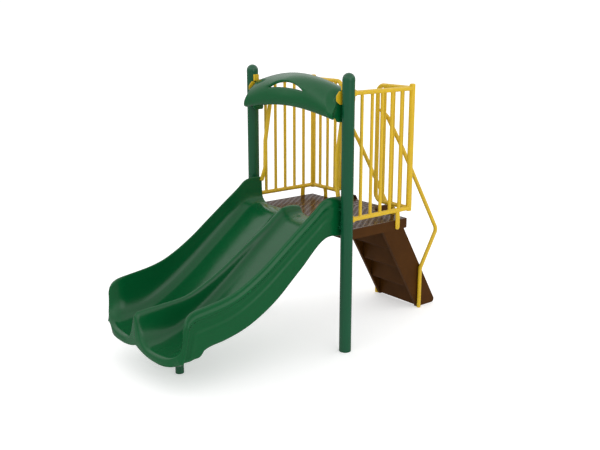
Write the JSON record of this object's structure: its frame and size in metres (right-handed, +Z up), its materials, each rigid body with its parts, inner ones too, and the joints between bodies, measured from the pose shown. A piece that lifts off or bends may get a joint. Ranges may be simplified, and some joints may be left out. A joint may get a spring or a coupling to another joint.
{
  "type": "playground slide",
  "caption": "Free-standing double wave slide with posts, moulded hood, perforated deck, pipe barriers, stair and handrails",
  "frame": {"origin": "on the ground, under the middle of the object's length and width", "axes": "+Z up; +X across the slide, toward the right post seen from the exit's side of the deck; the slide runs down toward -Y and the stair toward +Y"},
  "size_m": [1.21, 2.7245, 2.0245],
  "materials": {
    "green_moulding": "glossy roto-moulded polyethylene",
    "green_steel": "gloss powder coat",
    "yellow_steel": "gloss powder coat",
    "brown_steel": "dipped vinyl coat",
    "deck_coating": "glossy dipped vinyl coat",
    "zinc_bolts": "coated bolt heads"
  },
  "bodies": {
    "root": {"crossbar": "yellow_steel", "deck_plate": "deck_coating", "front_fascia": "brown_steel", "hood": "green_moulding", "hood_brackets": "yellow_steel", "landing_step": "brown_steel", "left_bar_1": "yellow_steel", "left_bar_2": "yellow_steel", "left_bar_3": "yellow_steel", "left_bar_4": "yellow_steel", "left_bar_5": "yellow_steel", "left_bottom_rail": "yellow_steel", "left_corner_tube": "yellow_steel", "left_fascia": "brown_steel", "left_handhold": "yellow_steel", "left_handrail": "yellow_steel", "left_hood_ear": "yellow_steel", "left_hood_end": "green_moulding", "left_post": "green_steel", "left_post_cap": "green_steel", "left_rear_bars": "yellow_steel", "left_rear_hoop": "yellow_steel", "left_rear_leg": "yellow_steel", "left_side_leg": "yellow_steel", "left_slide_foot": "green_steel", "left_stringer": "brown_steel", "left_top_rail": "yellow_steel", "leg_bolts": "zinc_bolts", "rail_clamps": "yellow_steel", "rear_fascia": "brown_steel", "right_bar_1": "yellow_steel", "right_bar_2": "yellow_steel", "right_bar_3": "yellow_steel", "right_bar_4": "yellow_steel", "right_bar_5": "yellow_steel", "right_bottom_rail": "yellow_steel", "right_corner_tube": "yellow_steel", "right_fascia": "brown_steel", "right_handhold": "yellow_steel", "right_handrail": "yellow_steel", "right_hood_ear": "yellow_steel", "right_hood_end": "green_moulding", "right_post": "green_steel", "right_post_cap": "green_steel", "right_rear_bars": "yellow_steel", "right_rear_hoop": "yellow_steel", "right_rear_leg": "yellow_steel", "right_side_leg": "yellow_steel", "right_slide_foot": "green_steel", "right_stringer": "brown_steel", "right_top_rail": "yellow_steel", "riser_1": "brown_steel", "riser_2": "brown_steel", "riser_3": "brown_steel", "riser_4": "brown_steel", "slide_bedway": "green_moulding", "slide_spacers": "green_steel", "tread_1": "brown_steel", "tread_2": "brown_steel", "tread_3": "brown_steel", "tread_4": "brown_steel"}
  },
  "joints": []
}
